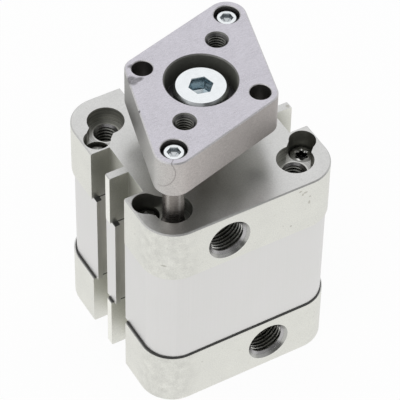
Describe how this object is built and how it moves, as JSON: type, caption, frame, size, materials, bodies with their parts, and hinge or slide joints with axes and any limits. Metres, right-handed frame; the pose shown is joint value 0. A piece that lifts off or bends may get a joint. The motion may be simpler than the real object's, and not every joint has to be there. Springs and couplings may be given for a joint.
{
  "type": "compact pneumatic cylinder",
  "caption": "Square double-acting compact air cylinder with ported end caps, a slotted barrel and a rhombic yoke plate that guide rods keep from turning.",
  "frame": {"origin": "centre of the rear cap's outer face", "axes": "+Z along the piston rod towards the yoke plate, -Y out of the two air ports"},
  "size_m": [0.0492, 0.0492, 0.0785],
  "materials": {
    "cap_aluminium": "satin",
    "barrel_aluminium": "satin",
    "plate_aluminium": "satin",
    "piston_aluminium": "satin",
    "chromed_steel": "polished",
    "zinc_steel": "gloss",
    "dark_steel": "satin",
    "gasket_rubber": "matte",
    "seal_polyurethane": "satin",
    "bearing_bronze": "satin",
    "magnet_compound": "matte",
    "guide_ring_plastic": "satin"
  },
  "bodies": {
    "housing": {"barrel": "barrel_aluminium", "front_bumper": "seal_polyurethane", "front_cap": "cap_aluminium", "front_cap_screws": "dark_steel", "front_gasket": "gasket_rubber", "guide_bush_far": "bearing_bronze", "guide_bush_near": "bearing_bronze", "rear_bumper": "seal_polyurethane", "rear_cap": "cap_aluminium", "rear_cap_screws": "dark_steel", "rear_gasket": "gasket_rubber", "rod_bush": "bearing_bronze", "rod_seal": "seal_polyurethane"},
    "slide": {"yoke_plate": "plate_aluminium", "plate_screw": "zinc_steel", "guide_rod_screws": "zinc_steel", "guide_rod_near": "chromed_steel", "guide_rod_far": "chromed_steel", "piston_rod": "chromed_steel", "piston_front_half": "piston_aluminium", "piston_rear_half": "piston_aluminium", "piston_o_ring": "gasket_rubber", "piston_seal_front": "seal_polyurethane", "piston_seal_rear": "seal_polyurethane", "magnet_ring": "magnet_compound", "guide_ring": "guide_ring_plastic", "piston_screw": "zinc_steel"}
  },
  "joints": [
    {"name": "rod_slide", "type": "slide", "parent": "housing", "child": "slide", "axis": [0, 0, 1], "range_m": [0, 0.015]}
  ]
}
